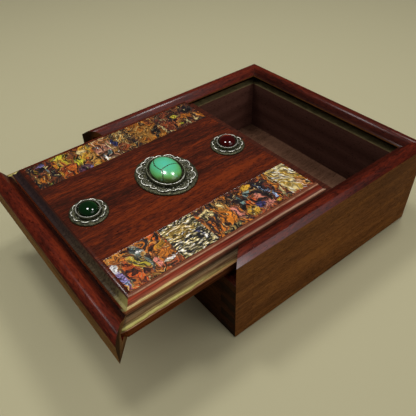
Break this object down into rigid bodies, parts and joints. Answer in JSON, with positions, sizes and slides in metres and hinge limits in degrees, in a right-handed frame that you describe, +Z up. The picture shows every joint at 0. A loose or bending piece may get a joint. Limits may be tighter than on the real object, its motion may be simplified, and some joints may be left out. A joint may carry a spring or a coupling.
{
  "type": "slide-lid box",
  "caption": "Square lacquered wooden box whose raised lid slides out in grooves; the lid is inlaid with shell strips and carries cabochon stones in pierced metal settings.",
  "frame": {"origin": "middle of the box's underside, on the surface that it stands on", "axes": "+Z up, the lid slides out towards -Y, X across the box"},
  "size_m": [0.15, 0.2137, 0.0664],
  "materials": {
    "rosewood": "gloss",
    "bottom_board": "satin",
    "shell_orange": "gloss",
    "shell_speckled": "gloss",
    "shell_brown": "gloss",
    "shell_dark": "gloss",
    "shell_cream": "gloss",
    "shell_yellow": "gloss",
    "antique_silver": "satin",
    "patina": "satin",
    "green_stone": "polished",
    "turquoise_stone": "gloss",
    "red_stone": "polished"
  },
  "bodies": {
    "box": {"wall_right": "rosewood", "wall_left": "rosewood", "wall_back": "rosewood", "wall_front": "rosewood", "bottom_panel": "bottom_board"},
    "lid": {"lid_panel": "rosewood", "lid_rim": "rosewood", "shell_right_1": "shell_orange", "shell_right_2": "shell_orange", "shell_right_3": "shell_speckled", "shell_right_4": "shell_brown", "shell_right_5": "shell_dark", "shell_right_6": "shell_cream", "shell_left_1": "shell_brown", "shell_left_2": "shell_yellow", "shell_left_3": "shell_cream", "shell_left_4": "shell_dark", "shell_left_5": "shell_orange", "shell_left_6": "shell_brown", "skirt_green": "patina", "skirt_turquoise": "patina", "skirt_red": "patina", "lace_green": "antique_silver", "lace_turquoise": "antique_silver", "lace_red": "antique_silver", "bezel_green": "antique_silver", "bezel_turquoise": "antique_silver", "bezel_red": "antique_silver", "stone_green": "green_stone", "stone_turquoise": "turquoise_stone", "stone_red": "red_stone"}
  },
  "joints": [
    {"name": "lid_slide", "type": "slide", "parent": "box", "child": "lid", "axis": [0, -1, 0], "range_m": [-0.0637, 0.0863]}
  ]
}
